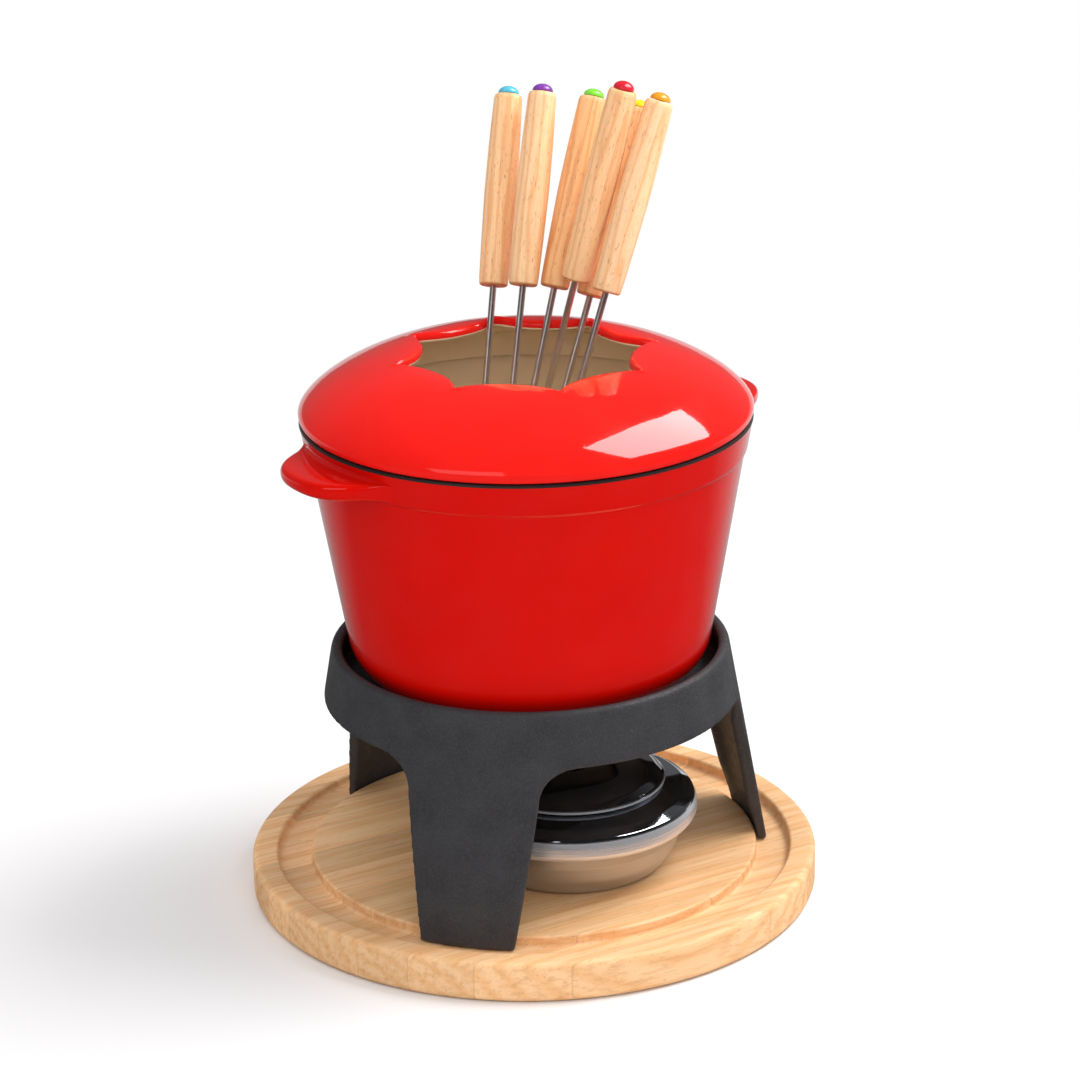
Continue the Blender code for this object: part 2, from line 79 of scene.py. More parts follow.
STAND_SLOPE = 0.176  # change of radius per height, as in POT_SLOPE
STAND_PLATE = 0.0042
STAND_FLANGE = 0.0066
STAND_LIP = 0.0048
RING_BOTTOM = 0.0905
RING_BOTTOM_RADIUS = 0.0924
FLANGE_INSET_DEG = 2.5
FLANGE_WIDTH_DEG = 2.6
LEG_HEADINGS_DEG = (30.0, 150.0, 270.0)
FOOT_HALF_DEG = 11.5
LEG_HALF_DEG = 18.0
FILLET_HALF_DEG = 28.0
FILLET_Z = 0.076
LEDGE_HOLE = 0.046
LEDGE_THICKNESS = 0.0048
CAST_VOXEL = 0.00078
CAST_SOFTENING = 14

POT_SLOPE = 0.171
POT_WALL = 0.0042
POT_FLOOR = 0.0050
POT_CORNER = 0.0265
POT_BASE_RADIUS = 0.054
POT_FLOOR_RADIUS = 0.030
POT_WALL_RADIUS = 0.0817
POT_WALL_RADIUS_Z = 0.1275
COLLAR_Z = 0.2060
COLLAR_STEP = 0.0009
TAB_HEADINGS_DEG = (50.0, 230.0)
TAB_TIP = 0.1180
TAB_HALF_DEG = 22.0
TAB_TOP = 0.2150
TAB_THICKNESS = 0.0075
TAB_NOSE = 0.0033
TAB_ROOT = 0.0022

LID_WIDEST_Z = 0.2240
LID_CROWN = 0.0240
LID_CROWN_RADIUS = 0.052
LID_DOME_SHAPE = 1.45
LID_SEAT = 0.0970
LID_WALL = 0.0042
LID_LIP_RADIUS = 0.0912
LID_LIP_DEPTH = 0.0015
NOTCHES = 8
NOTCH_RADIUS = 0.0560  # opening at its widest
LOBE_RADIUS = 0.0453  # opening at its narrowest
NOTCH_HEADING_DEG = 30.5
LOBE_SHAPE = 2.5
OPENING_ROLL = 0.0027
OPENING_TUCK = 0.0011
DOME_ROWS = 34
UNDERSIDE_ROWS = 20

SHEET = 0.0009
BAND_TOP = 0.0492  # top of the shoulder's satin band
CAP_BAND = 0.0014  # height of the cap's satin band
MOUTH_FLANGE = 0.0320
GAUZE_PITCH = 0.0032
GAUZE_WIRE = 0.00026

# ---- colours (linear) ----
RED_POT, RED_POT_DEEP = (0.63, 0.0035, 0.0008), (0.58, 0.0025, 0.0006)
# The lid's red is a lighter copy of the pot's red enamel: painted light on the lid's upward-facing
# top.
RED_LID_LIT, RED_LID_LIT_DEEP = (0.84, 0.0130, 0.0090), (0.79, 0.0100, 0.0070)
CREAM, CREAM_DEEP = (0.93, 0.76, 0.53), (0.90, 0.72, 0.49)
BRUSHED, TINNED = (0.56, 0.565, 0.60), (0.66, 0.65, 0.62)
# The polished steel of the shoulder (a little) and the cap (much) is darker than plain steel: painted
# dark reflection of the dark surroundings, so it looks black.
SHOULDER_MIRROR_PAINTED_DARK, CAP_MIRROR_PAINTED_DARK = (0.50, 0.53, 0.58), (0.30, 0.30, 0.32)
SATIN_BAND = (0.80, 0.80, 0.84)
WHITE = (1, 1, 1, 1)
BEAD_COLOURS = {
    1: (0.10, 0.52, 0.70),
    2: (0.24, 0.05, 0.40),
    3: (0.22, 0.75, 0.05),
    4: (0.70, 0.012, 0.03),
    5: (0.93, 0.78, 0.01),
    6: (0.82, 0.33, 0.01),
}

# ---- forks ----
PRONG_LENGTH = 0.024
PRONG_SPREAD = 0.0017
PRONG_TURN_DEG = 60.0
PRONG_RADIUS = 0.0008
ROD_LENGTH = 0.162
ROD_RADIUS = 0.0015
SOCKET_RADIUS = 0.0018
SOCKET_DEPTH = 0.020
GRIP_BELLY = 0.0073
GRIP_END = 0.0063
GRIP_WARMTH = (0.55, 0.15, 1.35, 0.75, 1.2, 0.0)
BEAD_RADIUS = 0.0046
BEAD_DOME = 0.0033
STEM_RADIUS = 0.0020
STEM_DEPTH = 0.0055

# ---- studio, in the camera's own heading ----
CAMERA_HEADING_DEG = 16.5
CAMERA_RUN = 1.4603
CAMERA_HEIGHT = 0.6900
CAMERA_TILT_DEG = -19.90
CAMERA_PAN_DEG = 0.20
CAMERA_ROLL_DEG = -1.0
CAMERA_LENS_MM = 117.9
SENSOR_MM = 36.0
MATT_LIGHT = 0.78
FLOOR_RADIUS = 14.0
LAMP_AIM, LAMP_ALONG = (0.0, 0.0, 0.15), (1.0, 0.0, 0.0)
# name, place, long and short side, watts, aim, heading of the long side, seen in mirrors
LAMPS = (
    ("key", (0.73, 0.18, 1.16), (0.92, 0.62), 15.5,
     (0.055, -0.075, 0.23), (0.265, 0.70, -0.385), True),
    ("sheen", (-0.9, -1.5, 1.3), (1.2, 0.8), 3.0, LAMP_AIM, LAMP_ALONG, True),
    ("fill", (0.3, -1.9, 1.5), (1.6, 1.4), 11.0, LAMP_AIM, LAMP_ALONG, False),
)

for old in list(bpy.data.objects):
    bpy.data.objects.remove(old)
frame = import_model()
measured = {name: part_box(name) for name in frame["nodes"]}.get


# ---- node helpers ----
def node(tree, kind, inputs=None, **settings):
    """A shader node; an input that is given a socket is linked to it."""
    made = tree.nodes.new(kind)
    for key, value in settings.items():
        setattr(made, key, value)
    for key, value in (inputs or {}).items():
        if isinstance(value, bpy.types.NodeSocket):
            tree.links.new(value, made.inputs[key])
        else:
            made.inputs[key].default_value = value
    return made


def calc(tree, operation, first, second=0.0):
    inputs = {0: first, 1: second}
    return node(tree, "ShaderNodeMath", inputs, operation=operation).outputs[0]


def add(tree, first, second):
    return calc(tree, "ADD", first, second)


def times(tree, first, second):
    return calc(tree, "MULTIPLY", first, second)


def less(tree, first, second):
    return calc(tree, "SUBTRACT", first, second)


def between(tree, share, none, full):
    """none where share is 0, full where it is 1."""
    return add(tree, times(tree, share, full), times(tree, less(tree, 1.0, share), none))


def grey(tree, shade):
    return node(tree, "ShaderNodeCombineColor", {0: shade, 1: shade, 2: shade}).outputs[0]


def hypot(tree, first, second):
    squares = add(tree, times(tree, first, first), times(tree, second, second))
    return calc(tree, "SQRT", squares)


def spread(tree, value, low, high, to_low, to_high):
    """value mapped from one range to another, clamped."""
    inputs = {
        "Value": value, "From Min": low, "From Max": high, "To Min": to_low, "To Max": to_high
    }
    return node(tree, "ShaderNodeMapRange", inputs).outputs[0]


def noise(tree, vector, scale, detail=2.0, roughness=0.5, distortion=0.0):
    inputs = {
        "Vector": vector, "Scale": scale, "Detail": detail, "Roughness": roughness,
        "Distortion": distortion
    }
    return node(tree, "ShaderNodeTexNoise", inputs).outputs["Fac"]


def mix(tree, factor, first, second, blend="MIX"):
    """Colour mix of two colours or sockets."""
    made = node(tree, "ShaderNodeMix", data_type="RGBA", blend_type=blend)
    for index, value in ((0, factor), (6, first), (7, second)):
        if isinstance(value, bpy.types.NodeSocket):
            tree.links.new(value, made.inputs[index])
        else:
            made.inputs[index].default_value = value if index == 0 else (*value, 1.0)
    return made.outputs[2]


def bump(tree, height, distance, strength=1.0, normal=None):
    inputs = {"Height": height, "Distance": distance, "Strength": strength}
    if normal is not None:
        inputs["Normal"] = normal
    return node(tree, "ShaderNodeBump", inputs).outputs[0]


def place_of(tree):
    """The point in the piece's own axes."""
    return node(tree, "ShaderNodeTexCoord").outputs["Object"]


def split(tree, vector):
    return node(tree, "ShaderNodeSeparateXYZ", {0: vector}).outputs


def join(tree, x, y, z):
    return node(tree, "ShaderNodeCombineXYZ", {0: x, 1: y, 2: z}).outputs[0]


def stretched(tree, vector, x, y, z):
    return node(
        tree, "ShaderNodeVectorMath", {0: vector, 1: (x, y, z)}, operation="MULTIPLY"
    ).outputs[0]


def new_look(name):
    """A material, its node tree and its Principled shader."""
    look = bpy.data.materials.new(name)
    look.use_nodes = True
    return look, look.node_tree, look.node_tree.nodes["Principled BSDF"]


def wire_up(tree, shader, **inputs):
    for key, value in inputs.items():
        socket = shader.inputs[key.replace("_", " ")]
        if isinstance(value, bpy.types.NodeSocket):
            tree.links.new(value, socket)
        elif isinstance(value, tuple) and len(value) == 3 and socket.type == "RGBA":
            socket.default_value = (*value, 1.0)
        else:
            socket.default_value = value


# ---- materials ----
def enamel(name, colour, deep):
    """Fired glass enamel: clear coat over colour, faint orange peel, a little pooling and dust."""
    look, tree, shader = new_look(name)
    place = place_of(tree)
    cloud = noise(tree, place, 18.0, 3.0)
    speck = spread(tree, noise(tree, place, 900.0, 1.0), 0.70, 0.76, 0.0, 0.35)
    tone = mix(tree, spread(tree, cloud, 0.3, 0.7, 0.0, 1.0), deep, colour)
    tone = mix(tree, speck, tone, deep)
    peel = noise(tree, place, 260.0, 2.0)
    wave = noise(tree, place, 34.0, 1.0)
    normal = bump(tree, peel, 0.00004, 0.55, bump(tree, wave, 0.0006, 0.35))
    rough = spread(tree, noise(tree, place, 60.0, 4.0), 0.35, 0.75, 0.10, 0.22)
    wire_up(
        tree, shader, Base_Color=tone, Roughness=rough, Normal=normal,
        Coat_Weight=0.9, Coat_Roughness=0.03, Coat_IOR=1.55, Coat_Normal=normal,
    )
    shader.inputs["Specular IOR Level"].default_value = 0.08
    return look


def bare_rim(name):
    """Dark unglazed iron on the rim, where the enamel stops."""
    look, tree, shader = new_look(name)
    place = place_of(tree)
    grain = noise(tree, place, 1400.0, 3.0)
    tone = mix(tree, grain, (0.012, 0.011, 0.011), (0.045, 0.040, 0.038))
    normal = bump(tree, grain, 0.00006, 0.8)
    wire_up(tree, shader, Base_Color=tone, Roughness=0.42, Normal=normal, Metallic=0.35)
    return look


def cast_iron(name):
    """Matt black coating over a sand-cast skin: fine grain, soft lumps, a few pits and a painted
    highlight on sharp edges.
    """
    look, tree, shader = new_look(name)
    place = place_of(tree)
    grain = noise(tree, place, 1500.0, 4.0, 0.65)
    skin = noise(tree, place, 330.0, 3.0, 0.6)
    lumps = noise(tree, place, 60.0, 2.0)
    pits = spread(tree, noise(tree, place, 420.0, 1.0), 0.70, 0.78, 0.0, 1.0)
    tone = mix(
        tree, spread(tree, lumps, 0.3, 0.7, 0.0, 1.0), (0.030, 0.029, 0.032), (0.040, 0.039, 0.043)
    )
    tone = mix(tree, spread(tree, grain, 0.45, 0.75, 0.0, 0.55), tone, (0.085, 0.082, 0.088))
    # Sharp edges are painted lighter: a painted highlight along the rim and leg edges.
    painted_edge_highlight = node(tree, "ShaderNodeNewGeometry").outputs["Pointiness"]
    tone = mix(tree, spread(tree, painted_edge_highlight, 0.52, 0.62, 0.0, 0.5), tone, (0.13, 0.124, 0.122))
    height = less(tree, add(tree, times(tree, skin, 1.4), grain), pits)
    normal = bump(tree, height, 0.00026, 0.75, bump(tree, lumps, 0.0011, 0.35))
    rough = spread(tree, skin, 0.3, 0.7, 0.46, 0.62)
    wire_up(tree, shader, Base_Color=tone, Roughness=rough, Normal=normal)
    shader.inputs["Specular IOR Level"].default_value = 0.42
    return look


def board_wood(name):
    """Glued staves of rubberwood: each with its own tone, rings, fibres and pores."""
    look, tree, shader = new_look(name)
    turn = node(
        tree, "ShaderNodeVectorRotate",
        {
            "Vector": place_of(tree), "Angle": -math.radians(STAVE_HEADING_DEG)
        }, rotation_type="Z_AXIS",
    )
    along, across, height = split(tree, turn.outputs[0])[0:3]
    count = calc(tree, "DIVIDE", add(tree, across, 0.0052), STAVE_WIDTH)
    stave = calc(tree, "FLOOR", count)
    within = calc(tree, "FRACT", count)
    dice = node(tree, "ShaderNodeTexWhiteNoise", {"W": stave}, noise_dimensions="1D")
    tone_dice, side_dice, depth_dice = split(tree, dice.outputs["Color"])[0:3]
    sideways = add(tree, across, spread(tree, side_dice, 0.0, 1.0, -0.09, 0.09))
    depth = add(tree, height, spread(tree, depth_dice, 0.0, 1.0, 0.03, 0.10))
    shift = add(tree, along, times(tree, tone_dice, 4.0))
    drift = noise(tree, join(tree, times(tree, shift, 0.28), sideways, depth), 30.0, 3.0)
    reach = hypot(tree, sideways, depth)
    rings = calc(tree, "SINE", add(tree, times(tree, reach, 900.0), times(tree, drift, 9.0)))
    rings = spread(tree, rings, -1.0, 1.0, 0.0, 1.0)
    streak_place = join(tree, times(tree, shift, 0.05), sideways, depth)
    streak = noise(tree, streak_place, 420.0, 4.0, 0.6)
    fibre = noise(tree, join(tree, times(tree, shift, 0.03), sideways, depth), 2300.0, 2.0)
    pores = noise(tree, join(tree, times(tree, shift, 0.10), sideways, depth), 1500.0, 1.0)
    pores = spread(tree, pores, 0.66, 0.74, 0.0, 1.0)
    tone = mix(tree, calc(tree, "POWER", rings, 1.8), (0.97, 0.600, 0.315), (0.92, 0.500, 0.225))
    tone = mix(tree, spread(tree, streak, 0.46, 0.72, 0.0, 0.62), tone, (0.66, 0.290, 0.085))
    tone = mix(tree, spread(tree, fibre, 0.3, 0.7, 0.0, 0.22), tone, (0.96, 0.66, 0.37))
    tone = mix(tree, times(tree, pores, 0.45), tone, (0.42, 0.20, 0.075))
    shade = spread(tree, tone_dice, 0.0, 1.0, 0.78, 1.03)
    tone = mix(tree, 1.0, tone, grey(tree, shade), "MULTIPLY")
    seam = spread(tree, calc(tree, "ABSOLUTE", less(tree, within, 0.5)), 0.486, 0.499, 0.0, 0.28)
    tone = mix(tree, seam, tone, (0.34, 0.17, 0.07))
    relief = less(tree, add(tree, times(tree, rings, 0.4), fibre), pores)
    normal = bump(tree, less(tree, relief, seam), 0.00010, 0.45)
    rough = spread(tree, streak, 0.3, 0.7, 0.42, 0.58)
    wire_up(tree, shader, Base_Color=tone, Roughness=rough, Normal=normal)
    shader.inputs["Specular IOR Level"].default_value = 0.35
    return look


def grip_wood(name, seed, warm):
    """Turned grip: long grain with slow waves, fine fibres and short dark pores, waxed."""
    look, tree, shader = new_look(name)
    x, y, z = split(tree, place_of(tree))[0:3]
    x = add(tree, x, 0.013 * math.cos(seed * 2.1) + seed * 0.37)
    y = add(tree, y, 0.013 * math.sin(seed * 1.3))
    z = add(tree, z, seed * 1.9)
    slow = join(tree, x, y, times(tree, z, 0.10))
    drift = noise(tree, slow, 110.0, 3.0)
    rings = calc(tree, "SINE", add(tree, times(tree, x, 1500.0), times(tree, drift, 22.0)))
    rings = spread(tree, rings, -1.0, 1.0, 0.0, 1.0)
    fibre = noise(tree, join(tree, x, y, times(tree, z, 0.03)), 3600.0, 2.0)
    pores = noise(tree, join(tree, x, y, times(tree, z, 0.13)), 2300.0, 1.0)
    pores = spread(tree, pores, 0.64, 0.72, 0.0, 1.0)
    light = (0.98, 0.66 - 0.07 * warm, 0.38 - 0.09 * warm)
    dark = (0.90 - 0.06 * warm, 0.49 - 0.08 * warm, 0.23 - 0.06 * warm)
    tone = mix(tree, calc(tree, "POWER", rings, 2.2), light, dark)
    tone = mix(tree, spread(tree, fibre, 0.35, 0.7, 0.0, 0.35), tone, (0.74, 0.37, 0.16))
    tone = mix(tree, times(tree, pores, 0.6), tone, (0.40, 0.16, 0.06))
    # The bottom end is darkened: painted shade on the grip's downward-facing end face.
    painted_end_shade = spread(tree, split(tree, place_of(tree))[2], 0.0012, 0.0004, 0.0, 0.75)
    tone = mix(tree, painted_end_shade, tone, (0.52, 0.185, 0.05))
    relief = less(tree, add(tree, times(tree, rings, 0.3), fibre), pores)
    normal = bump(tree, relief, 0.00007, 0.5)
    rough = spread(tree, fibre, 0.3, 0.7, 0.36, 0.52)
    wire_up(tree, shader, Base_Color=tone, Roughness=rough, Normal=normal)
    shader.inputs["Specular IOR Level"].default_value = 0.4
    return look


def spun_steel(name, colour, smooth, coarse, marks):
    """Steel with turning marks round the piece's own axis, and soft smudges."""
    look, tree, shader = new_look(name)
    place = place_of(tree)
    x, y, z = split(tree, place)[0:3]
    reach = hypot(tree, x, y)
    lines = noise(tree, join(tree, reach, 0.0, z), marks, 3.0, 0.7)
    smudge = noise(tree, place, 38.0, 4.0, 0.6)
    rough = add(
        tree, spread(tree, lines, 0.3, 0.7, smooth, coarse),
        spread(tree, smudge, 0.5, 0.8, 0.0, 0.08)
    )
    tone = mix(
        tree, spread(tree, lines, 0.3, 0.7, 0.0, 0.3), colour, tuple(c * 0.8 for c in colour)
    )
    normal = bump(tree, lines, 0.00002, 0.25)
    wire_up(tree, shader, Base_Color=tone, Metallic=1.0, Roughness=rough, Normal=normal)
    return look


def banded_steel(name, edge_z, mirror):
    """Polished above edge_z, turned to a satin band below it."""
    look, tree, shader = new_look(name)
    place = place_of(tree)
    x, y, z = split(tree, place)[0:3]
    reach = hypot(tree, x, y)
    lines = noise(tree, join(tree, reach, 0.0, z), 2600.0, 3.0, 0.7)
    scuffs = noise(tree, stretched(tree, place, 1.0, 1.0, 2.0), 120.0, 5.0, 0.7, 2.0)
    band = spread(tree, z, edge_z + 0.0003, edge_z - 0.0003, 0.0, 1.0)
    smooth = add(tree, spread(tree, scuffs, 0.55, 0.8, 0.0, 0.12), 0.05)
    satin = spread(tree, lines, 0.3, 0.7, 0.24, 0.36)
    rough = between(tree, band, smooth, satin)
    tone = mix(tree, band, mirror, SATIN_BAND)
    metal = spread(tree, band, 0.0, 1.0, 1.0, 0.72)
    wire_up(
        tree, shader, Base_Color=tone, Metallic=metal, Roughness=rough,
        Normal=bump(tree, lines, 0.00002, 0.2)
    )
    return look


def drawn_steel(name):
    """Rod steel: fine marks along the rod and a slightly uneven polish."""
    look, tree, shader = new_look(name)
    place = place_of(tree)
    lines = noise(tree, stretched(tree, place, 1.0, 1.0, 0.02), 5200.0, 2.0)
    bands = noise(tree, stretched(tree, place, 0.2, 0.2, 1.0), 160.0, 3.0)
    rough = add(
        tree, spread(tree, lines, 0.3, 0.7, 0.26, 0.42), spread(tree, bands, 0.4, 0.8, 0.0, 0.08)
    )
    tone = mix(tree, bands, (0.93, 0.90, 0.88), (0.80, 0.76, 0.74))
    wire_up(
        tree, shader, Base_Color=tone, Metallic=1.0, Roughness=rough,
        Normal=bump(tree, lines, 0.00002, 0.3)
    )
    return look


def bead_plastic(name, colour):
    """Gloss resin bead with a slightly cloudy body."""
    look, tree, shader = new_look(name)
    cloud = noise(tree, place_of(tree), 420.0, 2.0)
    tone = mix(
        tree, spread(tree, cloud, 0.3, 0.7, 0.0, 1.0), tuple(c * 0.85 for c in colour), colour
    )
    rough = spread(tree, cloud, 0.3, 0.7, 0.22, 0.32)
    wire_up(tree, shader, Base_Color=tone, Roughness=rough, Coat_Weight=0.35, Coat_Roughness=0.05)
    return look


def wool(name):
    """Pressed mineral wool."""
    look, tree, shader = new_look(name)
    place = place_of(tree)
    hairs = noise(tree, place, 1700.0, 5.0, 0.7, 1.2)
    tone = mix(tree, hairs, (0.46, 0.42, 0.35), (0.86, 0.83, 0.76))
    wire_up(tree, shader, Base_Color=tone, Roughness=0.95, Normal=bump(tree, hairs, 0.0006, 0.9))
    return look


# ---- shapes ----
def rounded(corners, steps=5, closed=True):
    """Profile (r, z) from corners (r, z, fillet): each fillet becomes a short arc."""
    points = []
    count = len(corners)
    for i, (r, z, fillet) in enumerate(corners):
        here = Vector((r, z))
        if fillet <= 0 or (not closed and i in (0, count - 1)):
            points.append((r, z))
            continue
        before = Vector(corners[i - 1][:2]) - here
        after = Vector(corners[(i + 1) % count][:2]) - here
        half = before.angle(after) / 2
        run = min(fillet / math.tan(half), before.length * 0.49, after.length * 0.49)
        start, end = here + before.normalized() * run, here + after.normalized() * run
        centre = here + (
            before.normalized() + after.normalized()
        ).normalized() * (run / math.cos(half))
        for k in range(steps + 1):
            arm = (start - centre).lerp(
                end - centre, k / steps
            ).normalized() * (start - centre).length
            points.append(tuple(centre + arm))
    return points


def polar_loft(name, section, looks, body, columns, place=(0.0, 0.0, 0.0), stands_for=None):
    """A closed surface from section(heading) -> [(r, z, look index)] that runs round in a loop."""
    vertices, faces, slots = [], [], []
    for column in range(columns):
        angle = math.tau * column / columns
        cut = section(math.degrees(angle))
        vertices += [(r * math.cos(angle), r * math.sin(angle), z) for r, z, _ in cut]
    rows = len(cut)
    for column in range(columns):
        a, b = column * rows, (column + 1) % columns * rows
        for row in range(rows):
            after = (row + 1) % rows
            faces.append((a + row, a + after, b + after, b + row))
            slots.append(cut[row][2])
    mesh = bpy.data.meshes.new(name)
    mesh.from_pydata(vertices, [], faces)
    mesh.polygons.foreach_set("material_index", slots)
    finish_mesh(mesh)
    return add_piece(name, mesh, looks, body, place, stands_for)


def finish_mesh(mesh, weld=0.000002):
    """Closes the poles, faces every face outwards and shades smooth up to a sharp angle."""
    shaped = bmesh.new()
    shaped.from_mesh(mesh)
    bmesh.ops.remove_doubles(shaped, verts=shaped.verts, dist=weld)
    bmesh.ops.dissolve_degenerate(shaped, edges=shaped.edges, dist=weld / 2)
    bmesh.ops.recalc_face_normals(shaped, faces=shaped.faces)
    shaped.to_mesh(mesh)
    shaped.free()
    mesh.shade_smooth()
    mesh.set_sharp_from_angle(angle=math.radians(38))


def add_piece(name, mesh, looks, body, place=(0.0, 0.0, 0.0), stands_for=None, matrix=None):
    """Puts a finished mesh on its body, in place of the CAD node."""
    piece = bpy.data.objects.new(name, mesh)
    bpy.context.scene.collection.objects.link(piece)
    piece.matrix_world = matrix if matrix is not None else Matrix.Translation(place)
    for look in looks:
        if look.name not in mesh.materials:
            mesh.materials.append(look)
    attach(piece, body)
    if stands_for:
        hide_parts(stands_for)
    return piece


def lathe(name, profile, look, body, place, stands_for, columns=SMALL_COLUMNS):
    """A turned piece with one look."""
    cut = [(r, z, 0) for r, z in profile]
    return polar_loft(name, lambda heading: cut, [look], body, columns, place, stands_for)


def heading(degrees):
    angle = math.radians(degrees)
    return Vector((math.cos(angle), math.sin(angle), 0.0))


def turned(profile, columns):
    """Vertices and faces of a closed profile of (r, z) turned about Z."""
    rows = len(profile)
    vertices, faces = [], []
    for column in range(columns):
        around = heading(360.0 * column / columns)
        vertices += [around * r + Vector((0, 0, z)) for r, z in profile]
        a, b = column * rows, (column + 1) % columns * rows
        faces += [(a + i, a + (i + 1) % rows, b + (i + 1) % rows, b + i) for i in range(rows)]
    return vertices, faces


def applied(piece):
    """The mesh that the piece's modifiers give."""
    bpy.context.view_layer.update()
    depsgraph = bpy.context.evaluated_depsgraph_get()
    return bpy.data.meshes.new_from_object(piece.evaluated_get(depsgraph))


# ---- board ----
def make_board():
    low, high = measured("board")
    radius, top = high.x, high.z
    corners = [(0.0, top, 0), (GROOVE_INNER, top, 0.0012), (GROOVE_INNER, GROOVE_FLOOR, 0.0014)]
    corners += [(GROOVE_OUTER, GROOVE_FLOOR, 0.0022), (GROOVE_OUTER, top, 0.0014)]
    corners += [(radius, top, BOARD_FILLET), (radius, low.z, BOARD_FILLET), (0.0, low.z, 0)]
    lathe(
        "board_fine", rounded(corners), board_wood("rubberwood_staves"), "board", (0, 0, 0),
        "board", BOARD_COLUMNS
    )


# ---- stand ----
def ring_radius(z):
    return RING_BOTTOM_RADIUS - STAND_SLOPE * (z - RING_BOTTOM)


def stand_low_edge(offset):
    """Height of the casting's lower edge at an angle from a leg's middle."""
    foot = GROOVE_FLOOR + PARTING
    if offset <= FOOT_HALF_DEG:
        return foot
    if offset <= LEG_HALF_DEG:
        return foot + (offset - FOOT_HALF_DEG) / (LEG_HALF_DEG - FOOT_HALF_DEG) * (FILLET_Z - foot)
    if offset < FILLET_HALF_DEG:
        share = (FILLET_HALF_DEG - offset) / (FILLET_HALF_DEG - LEG_HALF_DEG)
        return RING_BOTTOM - (RING_BOTTOM - FILLET_Z) * (1 - math.sqrt(1 - share**2))
    return RING_BOTTOM


def stand_depth(offset, z):
    """Thickness of the casting: thicker flanges along the two edges of each leg."""
    side = math.exp(-(((offset - (edge_offset(z) - FLANGE_INSET_DEG)) / FLANGE_WIDTH_DEG) ** 2))
    grow = max(0.0, min(1.0, (z - 0.022) / 0.014, (RING_BOTTOM - 0.002 - z) / 0.012))
    return STAND_PLATE + (STAND_FLANGE - STAND_PLATE) * side * grow


def edge_offset(z):
    """Half angle of a leg at a height."""
    foot = GROOVE_FLOOR + PARTING
    share = max(0.0, min(1.0, (z - foot) / (FILLET_Z - foot)))
    return FOOT_HALF_DEG + share * (LEG_HALF_DEG - FOOT_HALF_DEG)


def stand_sheet(top):
    """Ring and legs as one thick sheet: outer and inner face, closed along the edges."""
    fine = [FOOT_HALF_DEG * i / 14 for i in range(15)]
    fine += [FOOT_HALF_DEG + (LEG_HALF_DEG - FOOT_HALF_DEG) * i / 26 for i in range(1, 27)]
    fine += [
        LEG_HALF_DEG + (FILLET_HALF_DEG - LEG_HALF_DEG) * (i / 16) ** 1.6 for i in range(1, 17)
    ]
    fine += [FILLET_HALF_DEG + (60.0 - FILLET_HALF_DEG) * i / 16 for i in range(1, 17)]
    offsets = [-a for a in reversed(fine[1:-1])] + fine
    rows = 64
    vertices, faces = [], []
    columns = [(leg + offset, abs(offset)) for leg in LEG_HEADINGS_DEG for offset in offsets]
    for at, offset in columns:
        low = stand_low_edge(offset)
        for row in range(rows):
            z = low + (top - low) * row / (rows - 1)
            outer = ring_radius(z)
            vertices.append(heading(at) * outer + Vector((0, 0, z)))
            vertices.append(heading(at) * (outer - stand_depth(offset, z)) + Vector((0, 0, z)))
    for i in range(len(columns)):
        a, b = i * rows * 2, (i + 1) % len(columns) * rows * 2
        for row in range(rows - 1):
            k = row * 2
            faces.append((a + k, b + k, b + k + 2, a + k + 2))
            faces.append((b + k + 1, a + k + 1, a + k + 3, b + k + 3))
        faces.append((a, a + 1, b + 1, b))
        k = (rows - 1) * 2
        faces.append((a + k + 1, a + k, b + k, b + k + 1))
    return vertices, faces


def make_stand():
    """The casting: sheet, rolled lip and ledge are melted into one skin with soft corners."""
    top = measured("stand")[1].z
    ledge_top = measured("pot")[0].z - PARTING
    lip = ring_radius(top)
    lip_low = top - STAND_LIP
    bead = [(lip, top, 0.0024), (ring_radius(lip_low), lip_low, 0.0010)]
    bead += [(lip - STAND_LIP, lip_low, 0.0010), (lip - STAND_LIP, top, 0.0023)]
    outer = ring_radius(ledge_top) - STAND_PLATE / 2
    ledge = [
        (LEDGE_HOLE, ledge_top, 0.0015), (outer, ledge_top, 0),
        (outer, ledge_top - LEDGE_THICKNESS, 0)
    ]
    ledge += [(LEDGE_HOLE, ledge_top - LEDGE_THICKNESS, 0.0015)]
    shells = [stand_sheet(top - 0.0020), turned(rounded(bead, 8), BOARD_COLUMNS)]
    shells.append(turned(rounded(ledge, 8), BOARD_COLUMNS))
    shaped = bmesh.new()
    for vertices, faces in shells:
        made = [shaped.verts.new(v) for v in vertices]
        for face in faces:
            shaped.faces.new([made[i] for i in face])
    bmesh.ops.recalc_face_normals(shaped, faces=shaped.faces)
    mesh = bpy.data.meshes.new("stand_rough")
    shaped.to_mesh(mesh)
    shaped.free()
    rough = bpy.data.objects.new("stand_rough", mesh)
    bpy.context.scene.collection.objects.link(rough)
    melt = rough.modifiers.new("melt", "REMESH")
    melt.mode = "VOXEL"
    melt.voxel_size = CAST_VOXEL
    soften = rough.modifiers.new("soften", "SMOOTH")
    soften.factor = 0.5
    soften.iterations = CAST_SOFTENING
    skin = applied(rough)
    bpy.data.objects.remove(rough)
    skin.name = "stand_fine"
    skin.materials.clear()
    skin.shade_smooth()
    add_piece("stand_fine", skin, [cast_iron("matt_cast_iron")], "stand", stands_for="stand")


# ---- pot ----
def pot_radius(z):
    collar = COLLAR_STEP * max(0.0, min(1.0, (z - COLLAR_Z + 0.0007) / 0.0014))
    return POT_WALL_RADIUS + POT_SLOPE * (z - POT_WALL_RADIUS_Z) + collar


